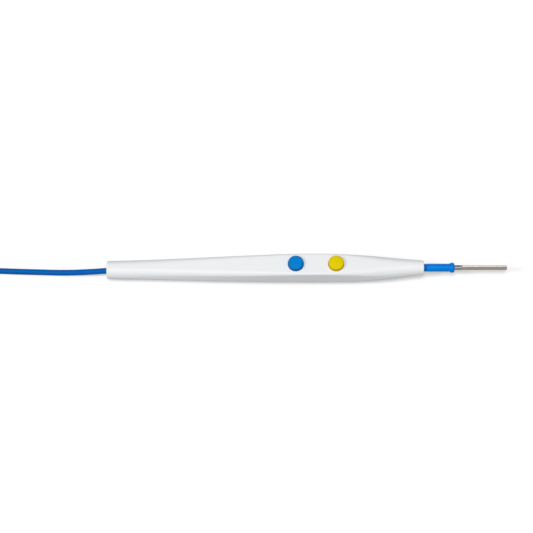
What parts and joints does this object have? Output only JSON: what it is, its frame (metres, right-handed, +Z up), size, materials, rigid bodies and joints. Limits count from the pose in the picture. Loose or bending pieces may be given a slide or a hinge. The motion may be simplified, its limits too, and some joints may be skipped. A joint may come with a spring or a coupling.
{
  "type": "electrosurgical pencil",
  "caption": "Slim hand switch pencil with cut and coag press buttons, a blade electrode in a hex socket, a hanked lead and a flat pin plug.",
  "frame": {"origin": "middle of the bottom of the pencil with its electrode, on the table", "axes": "+X along the pencil from the lead's end to the blade's tip, +Z up through the button deck, the handle lies on its belly"},
  "size_m": [0.413, 0.0387, 0.0149],
  "materials": {
    "white_shell": "satin moulded plastic, cool white",
    "board_green": "solder resist on glass-filled board",
    "clear_film": "polyester film",
    "sprung_steel": "thin sprung steel",
    "yellow_button": "finely stippled plastic, yellow",
    "blue_button": "finely stippled plastic, blue",
    "receptacle_brass": "turned brass",
    "electrode_steel": "drawn and pressed stainless steel",
    "blue_sleeve": "moulded plastic, blue",
    "ferrule_brass": "crimped brass",
    "wire_white": "wire insulation, white",
    "wire_yellow": "wire insulation, yellow",
    "wire_blue": "wire insulation, blue",
    "solder": "bright solder",
    "blue_cable": "soft smooth cable jacket, blue",
    "tie_white": "paper-like coated tie",
    "plug_blue": "moulded plastic, blue",
    "pin_nickel": "nickel plated turned brass"
  },
  "bodies": {
    "handle": {"upper_shell": "white_shell", "lower_shell": "white_shell", "switch_board": "board_green", "dome_spacer": "clear_film", "cut_dome": "sprung_steel", "coag_dome": "sprung_steel", "electrode_receptacle": "receptacle_brass", "receptacle_strap": "receptacle_brass", "cable_anchor": "ferrule_brass", "active_wire": "wire_white", "cut_wire": "wire_yellow", "coag_wire": "wire_blue", "solder_joints": "solder", "cord_lead": "blue_cable", "cord_hank": "blue_cable", "cord_tail": "blue_cable", "hank_tie": "tie_white", "plug_boot": "plug_blue", "plug_lower_shell": "plug_blue", "plug_upper_shell": "plug_blue", "plug_active_pin": "pin_nickel", "plug_cut_pin": "pin_nickel", "plug_coag_pin": "pin_nickel", "plug_wires": "wire_white"},
    "cut_key": {"cut_button": "yellow_button"},
    "coag_key": {"coag_button": "blue_button"},
    "electrode": {"electrode_blade": "electrode_steel", "electrode_sleeve": "blue_sleeve"}
  },
  "joints": [
    {"name": "cut_button_press", "type": "slide", "parent": "handle", "child": "cut_key", "axis": [0, 0, -1], "range_m": [0, 0.0007], "stiffness_N_per_m": 3000, "deforming": ["cut_dome"]},
    {"name": "coag_button_press", "type": "slide", "parent": "handle", "child": "coag_key", "axis": [0, 0, -1], "range_m": [0, 0.0007], "stiffness_N_per_m": 3000, "deforming": ["coag_dome"]},
    {"name": "electrode_pull", "type": "slide", "parent": "handle", "child": "electrode", "axis": [1, 0, 0], "range_m": [0, 0.026]}
  ]
}
